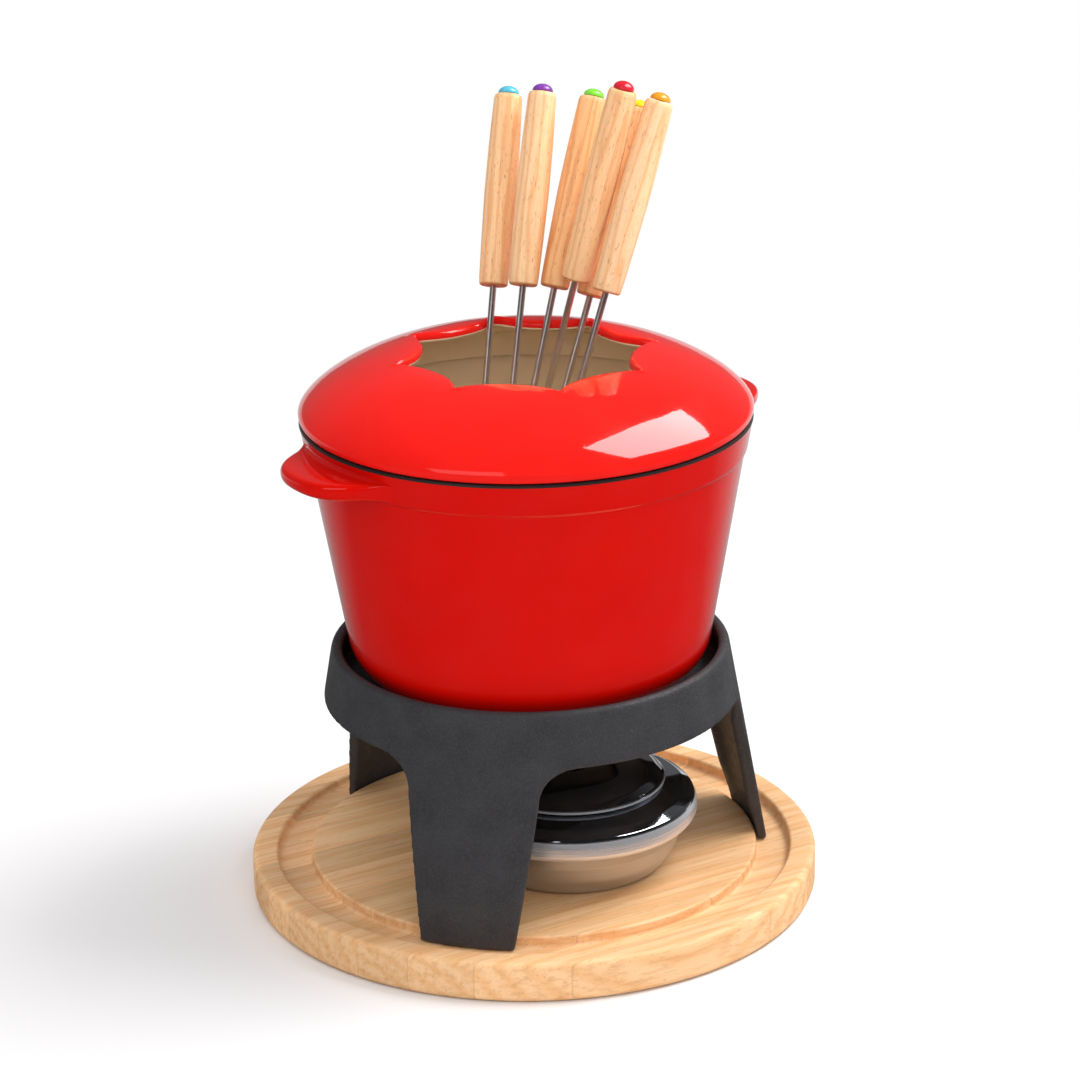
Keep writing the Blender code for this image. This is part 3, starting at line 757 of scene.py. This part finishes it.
def tab_reach(at_deg):
    """How far the handle stands out from the wall at a heading."""
    best = 0.0
    for tab in TAB_HEADINGS_DEG:
        offset = abs((at_deg - tab + 180.0) % 360.0 - 180.0)
        if offset < TAB_HALF_DEG:
            swell = 0.5 * (1 + math.cos(math.pi * (offset / TAB_HALF_DEG) ** 1.5))
            best = (TAB_TIP - pot_radius(TAB_TOP)) * swell
    return best


def tab_section(reach):
    """The handle's cut from the wall out and back, as (stand-out, z), top to bottom."""
    nose = min(reach * 0.5, TAB_NOSE)
    root = min(reach * 0.3, TAB_ROOT)
    top, low = TAB_TOP, TAB_TOP - TAB_THICKNESS
    steps = 5
    quarter = [math.radians(90 * k / steps) for k in range(steps + 1)]
    cut = [(root - root * math.cos(a), top + root - root * math.sin(a)) for a in quarter]
    flat = reach - nose - root
    cut += [(root + flat * k / 4, top) for k in range(1, 4)]
    cut += [(reach - nose + nose * math.sin(a), top - nose + nose * math.cos(a)) for a in quarter]
    cut += [(reach - nose + nose * math.cos(a), low + nose - nose * math.sin(a)) for a in quarter]
    cut += [(root + flat * k / 4, low) for k in range(3, 0, -1)]
    cut += [(root - root * math.sin(a), low - root + root * math.cos(a)) for a in quarter]
    return cut


def pot_corner(inset, floor_z, corner, steps):
    """The rounded corner between wall and base, from the wall down to the flat."""
    slope = math.atan(POT_SLOPE)
    centre_z = floor_z + corner
    tangent_z = centre_z - corner * math.sin(slope)
    wall_r = POT_WALL_RADIUS + POT_SLOPE * (tangent_z - POT_WALL_RADIUS_Z)
    centre_r = wall_r - inset - corner * math.cos(slope)
    angles = [-slope + (slope - math.pi / 2) * k / steps for k in range(steps + 1)]
    return [(centre_r + corner * math.cos(a), centre_z + corner * math.sin(a)) for a in angles]


def pot_section(at_deg):
    """Cut through the pot: dark rim, red outside with the handle, red base, cream inside."""
    low, high = measured("pot")
    rim = high.z
    outer = pot_radius(rim)
    inner = outer - POT_WALL - COLLAR_STEP
    red, cream, dark = 0, 1, 2
    cut = [
        (inner, rim - 0.0012, dark), (inner + 0.0004, rim - 0.0003, dark),
        (inner + 0.0013, rim, dark)
    ]
    cut += [
        (outer - 0.0013, rim, dark), (outer - 0.0004, rim - 0.0003, dark),
        (outer, rim - 0.0012, red)
    ]
    tab = tab_section(tab_reach(at_deg))
    start_z, end_z = tab[0][1], tab[-1][1]
    cut += [(pot_radius(z), z, red) for z in (rim - 0.0026, (rim + start_z) / 2 - 0.0006)]
    cut += [(pot_radius(max(z, COLLAR_Z + 0.001)) + out, z, red) for out, z in tab]
    lead = end_z - 0.0004
    step_rows = [
        COLLAR_Z + 0.0009, COLLAR_Z + 0.0006, COLLAR_Z, COLLAR_Z - 0.0006, COLLAR_Z - 0.0010
    ]
    cut += [(pot_radius(z), min(z, lead), red) for z in step_rows]
    corner = pot_corner(0.0, low.z, POT_CORNER, 14)
    wall_top, wall_low = COLLAR_Z - 0.003, corner[0][1]
    wall = [wall_top + (wall_low - wall_top) * k / 10 for k in range(10)]
    cut += [(pot_radius(z), z, red) for z in wall]
    cut += [(r, z, red) for r, z in corner]
    floor = low.z + POT_FLOOR
    cut += [(POT_BASE_RADIUS, low.z, dark), (0.0, low.z, dark)]
    cut += [(0.0, floor, cream), (POT_FLOOR_RADIUS, floor, cream)]
    inside = pot_corner(POT_WALL, floor, POT_CORNER - POT_WALL, 12)
    cut += [(r, z, cream) for r, z in reversed(inside)]
    base_r, base_z = inside[0]
    for k in range(1, 10):
        at_r = base_r + (inner - base_r) * k / 10
        at_z = base_z + (rim - 0.0012 - base_z) * k / 10
        cut.append((at_r, at_z, cream))
    return cut


def make_pot(red, cream, rim):
    polar_loft("pot_fine", pot_section, [red, cream, rim], "pot", POT_COLUMNS, stands_for="pot")


# ---- lid ----
def opening_radius(at_deg):
    pitch = 360.0 / NOTCHES
    share = ((at_deg - NOTCH_HEADING_DEG) % pitch) / pitch
    return NOTCH_RADIUS - (NOTCH_RADIUS - LOBE_RADIUS) * (1 - abs(2 * share - 1) ** LOBE_SHAPE)


def lid_height(radius, inset=0.0):
    wide = measured("lid")[1].x - inset
    reach = max(0.0, (radius - LID_CROWN_RADIUS) / (wide - LID_CROWN_RADIUS))
    arch = max(0.0, 1 - reach**LID_DOME_SHAPE) ** (1 / LID_DOME_SHAPE)
    return LID_WIDEST_Z + (LID_CROWN - inset) * arch


def lid_section(at_deg):
    """Cut through the splash ring: rolled edge, dome, seat, locating lip, cream underside."""
    wide = measured("lid")[1].x
    seat = measured("pot")[1].z + PARTING
    opening = opening_radius(at_deg)
    red, cream, dark = 0, 1, 2
    top, under = lid_height(opening), lid_height(opening, LID_WALL)
    roll, tuck = OPENING_ROLL, OPENING_TUCK
    cut = []
    for a in (0.0, 0.5, 1.0):
        cut.append((opening + tuck - tuck * math.sin(a), under + tuck - tuck * math.cos(a), cream))
    cut.append((opening, under + tuck, red))
    arc = [math.radians(90 * k / 7) for k in range(8)]
    cut += [
        (opening + roll - roll * math.cos(a), top - roll + roll * math.sin(a), red) for a in arc
    ]
    inner = opening + roll
    for k in range(1, DOME_ROWS):
        radius = inner + (wide - inner) * math.sin(math.pi / 2 * k / DOME_ROWS)
        cut.append((radius, lid_height(radius), red))
    cut += [(wide, LID_WIDEST_Z, red), (wide - 0.0001, LID_WIDEST_Z - 0.0013, red)]
    cut += [(wide - 0.0005, LID_WIDEST_Z - 0.0025, red), (LID_SEAT + 0.0006, seat + 0.0002, red)]
    cut += [(LID_SEAT - 0.0003, seat, dark), (LID_LIP_RADIUS, seat, dark)]
    cut += [
        (LID_LIP_RADIUS, seat - LID_LIP_DEPTH, cream),
        (LID_LIP_RADIUS - 0.0015, seat - LID_LIP_DEPTH, cream)
    ]
    inner_wide = wide - LID_WALL
    start = (LID_LIP_RADIUS - 0.0015 - opening - tuck) / (inner_wide - opening - tuck)
    for k in range(1, UNDERSIDE_ROWS):
        radius = opening + tuck + (inner_wide - opening - tuck) * start * (1 - k / UNDERSIDE_ROWS)
        cut.append((radius, lid_height(radius, LID_WALL), cream))
    return cut


def make_lid(red, cream, rim):
    polar_loft(
        "lid_fine", lid_section, [red, cream, rim], "lid", NOTCHES * NOTCH_COLUMNS, stands_for="lid"
    )


# ---- burner ----
def burner_place():
    low, high = measured("burner_bowl")
    return ((low.x + high.x) / 2, (low.y + high.y) / 2, 0.0)


def shell(outline, thickness):
    """A sheet-metal cut: an outer line, top to bottom, and the same line set inwards."""
    outer = [Vector(p) for p in outline]
    inner = []
    for i, point in enumerate(outer):
        run = outer[min(i + 1, len(outer) - 1)] - outer[max(i - 1, 0)]
        inner.append(point + Vector((run.y, -run.x)).normalized() * thickness)
    return [tuple(p) for p in outer + list(reversed(inner))]


def turned_size(name):
    """Lowest and highest level of a turned CAD node, and its radius."""
    low, high = measured(name)
    return low.z, high.z, (high.x - low.x) / 2


def make_bowl(place):
    base, seam, rim = turned_size("burner_bowl")
    outer = [
        (rim, seam, 0), (rim - 0.0005, seam - 0.0060, 0.006), (rim - 0.0030, seam - 0.0135, 0.012)
    ]
    outer += [(rim - 0.0070, base + 0.0022, 0.004), (rim - 0.0100, base, 0.0015), (0.0, base, 0)]
    inner = [
        (0.0, base + SHEET, 0), (rim - 0.0104, base + SHEET, 0.0012),
        (rim - 0.0077, base + 0.0030, 0.003)
    ]
    inner += [
        (rim - 0.0038, seam - 0.0130, 0.012), (rim - 0.0014, seam - 0.0058, 0.006),
        (rim - SHEET, seam, 0)
    ]
    look = spun_steel("brushed_bowl", BRUSHED, 0.34, 0.46, 2600.0)
    line = rounded(outer + inner, 8)
    lathe("burner_bowl_fine", line, look, "burner", place, "burner_bowl", BURNER_COLUMNS)


def make_shoulder(place):
    _, seam, rim = turned_size("burner_bowl")
    _, top, wide = turned_size("burner_shoulder")
    low = seam + PARTING
    crown = [
        (MOUTH_FLANGE, top, 0), (0.0398, top, 0.004), (0.0500, 0.0531, 0.006),
        (wide - 0.0015, 0.0503, 0.0022)
    ]
    crown += [
        (wide, 0.0470, 0.0030), (wide, 0.0425, 0.0024), (wide - 0.0016, low, 0.0014),
        (rim - 0.0015, low, 0)
    ]
    # The shoulder's polished steel is dimmed: painted dark reflection.
    look = banded_steel("polished_shoulder_painted_dark", BAND_TOP, SHOULDER_MIRROR_PAINTED_DARK)
    line = shell(rounded(crown, 8, closed=False), SHEET)
    lathe("burner_shoulder_fine", line, look, "burner", place, "burner_shoulder", BURNER_COLUMNS)


def make_fuel(place):
    """The cup that holds the spirit and the wadding in it."""
    low, high, radius = turned_size("fuel_cup")
    corners = [(radius, high, 0.0003), (radius, low, 0.0020), (0.0, low, 0), (0.0, low + SHEET, 0)]
    corners += [(radius - SHEET, low + SHEET, 0.0012), (radius - SHEET, high, 0.0003)]
    tin = spun_steel("tinned_cup", TINNED, 0.25, 0.4, 1800.0)
    lathe("fuel_cup_fine", rounded(corners), tin, "burner", place, "fuel_cup")
    low, high, radius = turned_size("fuel_wadding")
    radius -= 0.0002
    corners = [(0.0, high, 0), (radius, high, 0.0020), (radius, low, 0.0020), (0.0, low, 0)]
    fill = wool("mineral_wool")
    lathe("fuel_wadding_fine", rounded(corners), fill, "burner", place, "fuel_wadding")


def make_gauze(place):
    """Woven wire disc: two sets of wavy wires that pass over and under each other, in a hoop."""
    low, high, radius = turned_size("wick_gauze")
    radius -= 0.0006
    level = (low + high) / 2
    pitch, wire = GAUZE_PITCH, GAUZE_WIRE
    curve = bpy.data.curves.new("wick_gauze_fine", "CURVE")
    curve.dimensions = "3D"
    curve.bevel_depth = wire
    curve.bevel_resolution = 1
    curve.use_fill_caps = True
    count = int(radius / pitch)
    for line in range(-count, count + 1):
        offset = line * pitch
        reach = math.sqrt(max(0.0, radius**2 - offset**2))
        steps = max(2, int(2 * reach / (pitch / 2)))
        for across in (False, True):
            spline = curve.splines.new("POLY")
            spline.points.add(steps)
            for k, point in enumerate(spline.points):
                run = -reach + 2 * reach * k / steps
                rise = wire * math.cos(math.pi * (run / pitch + line + across))
                point.co = (offset, run, rise, 1) if across else (run, offset, rise, 1)
    hoop = curve.splines.new("POLY")
    hoop.points.add(63)
    hoop.use_cyclic_u = True
    for k, point in enumerate(hoop.points):
        point.co = (*(heading(360 * k / 64) * radius)[:2], 0.0, 1)
    gauze = bpy.data.objects.new("wick_gauze_wire", curve)
    bpy.context.scene.collection.objects.link(gauze)
    mesh = applied(gauze)
    bpy.data.objects.remove(gauze)
    finish_mesh(mesh)
    look = drawn_steel("gauze_wire")
    add_piece("wick_gauze_fine", mesh, [look], "burner", (place[0], place[1], level), "wick_gauze")


def make_snuffer(place):
    base, top, radius = turned_size("snuffer_cap")
    # The cap's polished steel is darkened: painted dark reflection.
    look = banded_steel("polished_cap_painted_dark", base + CAP_BAND, CAP_MIRROR_PAINTED_DARK)
    crown = [
        (0.0, top, 0), (0.0200, top - 0.0006, 0.02), (0.0310, top - 0.0030, 0.02),
        (0.0375, top - 0.0063, 0.012)
    ]
    crown += [(radius - 0.0014, base + 0.0020, 0.0010), (radius - 0.0002, base + 0.0013, 0.0006)]
    crown += [(radius, base + 0.0003, 0.0003), (radius - 0.0006, base, 0)]
    line = rounded(crown, 6, closed=False)
    inner = [(radius - 0.0016, base), (radius - 0.0022, base + 0.0010), (0.0368, top - 0.0073)]
    inner += [(0.0304, top - 0.0041), (0.0196, top - 0.0016), (0.0, top - 0.0010)]
    lathe("snuffer_cap_fine", line + inner, look, "snuffer", place, "snuffer_cap", BURNER_COLUMNS)
    foot, head, _ = turned_size("snuffer_knob")
    corners = [
        (0.0, head, 0), (0.0055, head, 0.0018), (0.0070, head - 0.0040, 0.0020),
        (0.0034, foot + 0.0030, 0.0015)
    ]
    corners += [(0.0036, foot + 0.0012, 0.0006), (0.0050, foot, 0.0003), (0.0, foot, 0)]
    lathe(
        "snuffer_knob_fine", rounded(corners, 6), look, "snuffer", place, "snuffer_knob",
        KNOB_COLUMNS
    )


def make_burner():
    place = burner_place()
    make_bowl(place)
    make_shoulder(place)
    make_fuel(place)
    make_gauze(place)
    make_snuffer(place)


# ---- forks ----
def fork_matrix(number):
    """A fork's axes and its grip's length: origin at the grip's foot, Z towards the bead."""
    joint = next(j for j in frame["joints"] if j["name"] == f"fork_{number}_slide")
    axis = Vector(joint["axis"]).normalized()
    points = [v.co for v in frame["nodes"][f"fork_{number}_handle"].data.vertices]
    centre = sum(points, Vector()) / len(points)
    foot = centre + axis * min((p - centre).dot(axis) for p in points)
    length = max((p - foot).dot(axis) for p in points)
    return Matrix.Translation(foot) @ axis.to_track_quat("Z", "Y").to_matrix().to_4x4(), length


def grip_profile(length):
    """Turned grip: slight belly, softened ends, a seat for the bead and a socket for the rod."""
    belly, end = GRIP_BELLY, GRIP_END
    corners = [(0.0, length - 0.006, 0), (0.0023, length - 0.006, 0), (0.0023, length, 0.0003)]
    corners += [
        (end - 0.0006, length, 0.0012), (end, length - 0.0020, 0.0016),
        (belly - 0.0003, length * 0.72, 0.05)
    ]
    corners += [
        (belly, length * 0.50, 0.05), (belly - 0.0003, length * 0.26, 0.05),
        (end + 0.0003, 0.0040, 0.006)
    ]
    corners += [(end, 0.0006, 0.0010), (end - 0.0007, 0.0, 0.0006), (SOCKET_RADIUS, 0.0, 0.0003)]
    corners += [(SOCKET_RADIUS, SOCKET_DEPTH, 0), (0.0, SOCKET_DEPTH, 0)]
    return rounded(corners, 5)


def bead_profile(length):
    turns = [math.radians(90 * k / 14) for k in range(15)]
    dome = [(BEAD_RADIUS * math.sin(a), length + 0.0005 + BEAD_DOME * math.cos(a)) for a in turns]
    stem = [
        (STEM_RADIUS, length + PARTING), (STEM_RADIUS, length - STEM_DEPTH),
        (0.0, length - STEM_DEPTH)
    ]
    return dome + [(BEAD_RADIUS - 0.0001, length + PARTING)] + stem


def round_wire(name, points, radii, sides=2):
    curve = bpy.data.curves.new(name, "CURVE")
    curve.dimensions = "3D"
    curve.bevel_depth = 1.0
    curve.bevel_resolution = sides
    curve.use_fill_caps = True
    spline = curve.splines.new("POLY")
    spline.points.add(len(points) - 1)
    for target, place, radius in zip(spline.points, points, radii):
        target.co = (*place, 1.0)
        target.radius = radius
    wire = bpy.data.objects.new(name, curve)
    bpy.context.scene.collection.objects.link(wire)
    mesh = applied(wire)
    bpy.data.objects.remove(wire)
    finish_mesh(mesh)
    made = bpy.data.objects.new(name, mesh)
    bpy.context.scene.collection.objects.link(made)
    return made


def fork_rod_mesh():
    """Rod that narrows and splits into two barbed prongs."""
    low = -ROD_LENGTH
    root = low + PRONG_LENGTH
    shank = [(0, 0, 0.0197), (0, 0, 0.0), (0, 0, root + 0.006), (0, 0, root)]
    rod = round_wire("rod_shank", shank, (ROD_RADIUS, ROD_RADIUS, ROD_RADIUS, 0.0012), 6)
    extras = []
    out = heading(PRONG_TURN_DEG)
    for side in (-1, 1):
        bend = [
            (0, root + 0.004), (0.25, root), (0.75, root - 0.004), (1.0, root - 0.009),
            (1.0, low + 0.006), (1.0, low)
        ]
        path = [out * side * PRONG_SPREAD * share + Vector((0, 0, z)) for share, z in bend]
        radii = [PRONG_RADIUS] * len(path)
        radii[1], radii[-1] = 0.00085, 0.00025
        extras.append(round_wire("prong", path, radii, 3))
        barb = []
        for inset, z in ((0, 0.003), (0.0010, 0.0072)):
            barb.append(out * side * (PRONG_SPREAD - inset) + Vector((0, 0, low + z)))
        extras.append(round_wire("barb", barb, (0.0006, 0.00020), 2))
    for extra in extras:
        step = rod.modifiers.new(extra.name, "BOOLEAN")
        step.operation = "UNION"
        step.object = extra
    mesh = applied(rod)
    for made in [rod, *extras]:
        bpy.data.objects.remove(made)
    mesh.name = "fork_rod"
    finish_mesh(mesh)
    return mesh


def turned_mesh(name, profile, columns):
    """A turned mesh about Z."""
    mesh = bpy.data.meshes.new(name)
    vertices, faces = turned(profile, columns)
    mesh.from_pydata(vertices, [], faces)
    finish_mesh(mesh)
    return mesh


def make_forks():
    steel = drawn_steel("fork_steel")
    rod_mesh = fork_rod_mesh()
    for number, colour in BEAD_COLOURS.items():
        matrix, length = fork_matrix(number)
        body = f"fork_{number}"
        wood = grip_wood(f"grip_wood_{number}", number, GRIP_WARMTH[number - 1])
        grip = turned_mesh(f"fork_{number}_grip", grip_profile(length), GRIP_COLUMNS)
        add_piece(
            f"fork_{number}_grip", grip, [wood], body, stands_for=f"fork_{number}_handle",
            matrix=matrix
        )
        bead = turned_mesh(f"fork_{number}_cap_bead", bead_profile(length), BEAD_COLUMNS)
        gloss = bead_plastic(f"bead_resin_{number}", colour)
        add_piece(
            f"fork_{number}_cap_bead", bead, [gloss], body, stands_for=f"fork_{number}_bead",
            matrix=matrix
        )
        rod = rod_mesh.copy()
        add_piece(
            f"fork_{number}_steel", rod, [steel], body, stands_for=f"fork_{number}_rod",
            matrix=matrix
        )


# ---- studio ----
def studio(x, y, z):
    """A point given with X to the camera's right and Y away from it, in the frame's axes."""
    return Matrix.Rotation(math.radians(CAMERA_HEADING_DEG), 3, "Z") @ Vector((x, y, z))


def make_camera():
    pan, tilt = math.radians(CAMERA_PAN_DEG), math.radians(CAMERA_TILT_DEG)
    ahead = studio(math.sin(pan) * math.cos(tilt), math.cos(pan) * math.cos(tilt), math.sin(tilt))
    level = ahead.cross(Vector((0, 0, 1))).normalized()
    roll = math.radians(CAMERA_ROLL_DEG)
    right = level * math.cos(roll) + level.cross(ahead) * math.sin(roll)
    up = right.cross(ahead)
    data = bpy.data.cameras.new("camera")
    data.lens = CAMERA_LENS_MM
    data.sensor_width = SENSOR_MM
    camera = bpy.data.objects.new("camera", data)
    axes = Matrix((right, up, -ahead)).transposed().to_4x4()
    camera.matrix_world = Matrix.Translation(studio(0, -CAMERA_RUN, CAMERA_HEIGHT)) @ axes
    bpy.context.scene.collection.objects.link(camera)
    bpy.context.scene.camera = camera


def soft_box(name, place, size, power, aim, along, mirrored):
    """A rectangular lamp; its longer side lies along the given direction."""
    data = bpy.data.lights.new(name, "AREA")
    data.shape = "RECTANGLE"
    data.size, data.size_y = size
    data.energy = power
    lamp = bpy.data.objects.new(name, data)
    spot = studio(*place)
    back = (spot - studio(*aim)).normalized()
    side = studio(*along)
    side = (side - back * side.dot(back)).normalized()
    axes = Matrix((side, back.cross(side), back)).transposed().to_4x4()
    lamp.matrix_world = Matrix.Translation(spot) @ axes
    lamp.visible_glossy = mirrored
    bpy.context.scene.collection.objects.link(lamp)


def along_view(tree, vector):
    """How far a vector reaches away from the camera, on the level."""
    inputs = {0: vector, 1: tuple(studio(0.0, 1.0, 0.0))}
    return node(tree, "ShaderNodeVectorMath", inputs, operation="DOT_PRODUCT").outputs["Value"]


def make_world():
    """White behind the object, soft fill for matt surfaces, darker in front for mirrored light."""
    world = bpy.data.worlds.new("studio")
    bpy.context.scene.world = world
    world.use_nodes = True
    tree = world.node_tree
    tree.nodes.clear()
    direction = node(tree, "ShaderNodeTexCoord").outputs["Generated"]
    ahead = along_view(tree, direction)
    mirrored = spread(tree, ahead, -0.10, 0.85, 0.02, 0.13)
    path = node(tree, "ShaderNodeLightPath").outputs
    level = between(tree, path["Is Glossy Ray"], MATT_LIGHT, mirrored)
    level = calc(tree, "MAXIMUM", level, path["Is Camera Ray"])
    shade = node(tree, "ShaderNodeBackground", {"Color": WHITE, "Strength": level})
    out = node(tree, "ShaderNodeOutputWorld")
    tree.links.new(shade.outputs[0], out.inputs[0])


def make_floor():
    """Pale sweep that melts into the white background away from the object."""
    mesh = bpy.data.meshes.new("floor")
    shaped = bmesh.new()
    bmesh.ops.create_circle(shaped, cap_ends=True, segments=96, radius=FLOOR_RADIUS)
    shaped.to_mesh(mesh)
    shaped.free()
    floor = bpy.data.objects.new("floor", mesh)
    floor.location.z = measured("board")[0].z - PARTING
    bpy.context.scene.collection.objects.link(floor)
    look, tree, shader = new_look("pale_floor")
    wire_up(tree, shader, Base_Color=(0.86, 0.86, 0.87), Roughness=0.7)
    shader.inputs["Specular IOR Level"].default_value = 0.1
    path = node(tree, "ShaderNodeLightPath").outputs
    far = node(
        tree, "ShaderNodeVectorMath", {0: place_of(tree)}, operation="LENGTH"
    ).outputs["Value"]
    fade = times(tree, spread(tree, far, 0.22, 0.75, 0.0, 1.0), path["Is Camera Ray"])
    white = node(tree, "ShaderNodeEmission", {"Color": WHITE, "Strength": 1.0}).outputs[0]
    behind = along_view(tree, place_of(tree))
    shade = spread(tree, behind, 0.12, 0.9, 0.05, 0.7)
    dim = node(tree, "ShaderNodeBsdfDiffuse", {"Color": grey(tree, shade)}).outputs[0]
    seen = node(tree, "ShaderNodeMixShader", {0: fade, 1: shader.outputs[0], 2: white}).outputs[0]
    final = node(
        tree, "ShaderNodeMixShader", {0: path["Is Glossy Ray"], 1: seen, 2: dim}
    ).outputs[0]
    tree.links.new(final, tree.nodes["Material Output"].inputs["Surface"])
    mesh.materials.append(look)


red_pot = enamel("red_enamel_pot", RED_POT, RED_POT_DEEP)
# The lid gets the lighter red: painted light on its upward-facing top.
red_lid_lit = enamel("red_enamel_lid", RED_LID_LIT, RED_LID_LIT_DEEP)
cream = enamel("cream_enamel", CREAM, CREAM_DEEP)
rim = bare_rim("dark_bare_rim")
make_board()
make_stand()
make_pot(red_pot, cream, rim)
make_lid(red_lid_lit, cream, rim)
make_burner()
make_forks()
make_floor()
make_world()
make_camera()
for lamp in LAMPS:
    soft_box(*lamp)
bpy.context.scene.view_settings.view_transform = "Standard"
bpy.context.scene.cycles.use_denoising = True
